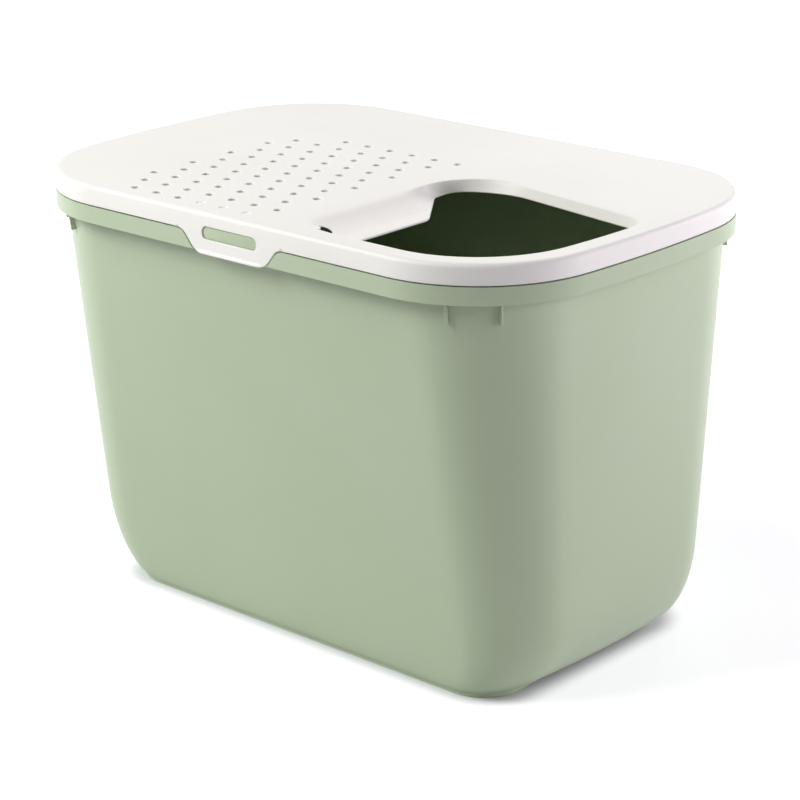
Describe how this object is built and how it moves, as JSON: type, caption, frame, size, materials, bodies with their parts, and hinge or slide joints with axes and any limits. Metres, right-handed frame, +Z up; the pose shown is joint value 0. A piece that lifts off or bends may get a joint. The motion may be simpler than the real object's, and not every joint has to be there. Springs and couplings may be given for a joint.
{
  "type": "top entry litter box",
  "caption": "Deep tapered cat litter tub with a perforated lid, an entry opening in its top and a sprung clip on each long side.",
  "frame": {"origin": "on the ground under the middle of the box", "axes": "+X along the length towards the end with the entry opening, +Y across to the rear long side, +Z up"},
  "size_m": [0.5848, 0.3882, 0.395],
  "materials": {
    "tub_plastic": "satin moulded polypropylene, sage green",
    "lid_plastic": "satin moulded polypropylene, warm white"
  },
  "bodies": {
    "tub": {"tub": "tub_plastic"},
    "lid": {"lid": "lid_plastic"},
    "front_clip": {"front_clip": "lid_plastic"},
    "rear_clip": {"rear_clip": "lid_plastic"}
  },
  "joints": [
    {"name": "lid_lift", "type": "slide", "parent": "tub", "child": "lid", "axis": [0, 0, 1], "range_m": [0, 0.2]},
    {"name": "front_clip_flex", "type": "hinge", "parent": "lid", "child": "front_clip", "pos_m": [0, -0.1925, 0.3776], "axis": [-1, 0, 0], "range_deg": [0, 15], "stiffness_Nm_per_rad": 0.8},
    {"name": "rear_clip_flex", "type": "hinge", "parent": "lid", "child": "rear_clip", "pos_m": [0, 0.1925, 0.3776], "axis": [1, 0, 0], "range_deg": [0, 15], "stiffness_Nm_per_rad": 0.8}
  ]
}
